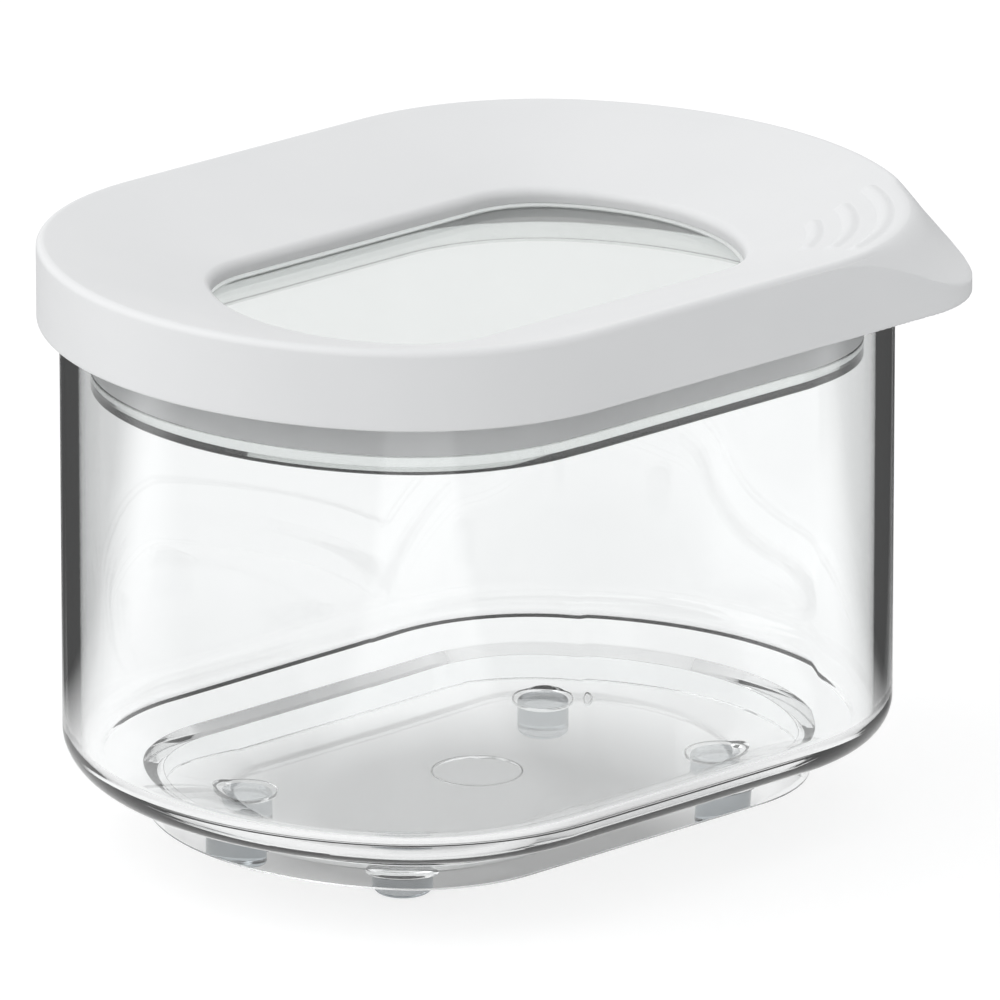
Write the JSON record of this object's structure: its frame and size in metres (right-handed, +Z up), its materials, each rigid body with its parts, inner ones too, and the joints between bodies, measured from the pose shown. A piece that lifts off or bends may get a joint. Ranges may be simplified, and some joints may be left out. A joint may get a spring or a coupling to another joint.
{
  "type": "food storage container",
  "caption": "Clear oblong keeper with rounded ends, small feet and a dished white lid that has a clear window, a thumb lip at one corner and a soft sealing ring.",
  "frame": {"origin": "middle of the plan at the bottom of the feet", "axes": "+X along the length, +Y across the width, +Z up out of the lid; the thumb lip is at the +X -Y corner"},
  "size_m": [0.124, 0.0949, 0.085],
  "materials": {
    "clear_body": "clear rigid plastic with a polished surface",
    "soft_feet": "clear soft plastic",
    "white_lid": "white plastic with a fine satin surface",
    "clear_window": "clear rigid plastic with a polished surface",
    "soft_seal": "pale grey soft rubber"
  },
  "bodies": {
    "container": {"container_body": "clear_body", "base_feet": "soft_feet"},
    "lid": {"lid_frame": "white_lid", "lid_window": "clear_window", "lid_seal": "soft_seal"}
  },
  "joints": [
    {"name": "lid_lift", "type": "slide", "parent": "container", "child": "lid", "axis": [0, 0, 1], "range_m": [0, 0.05]}
  ]
}
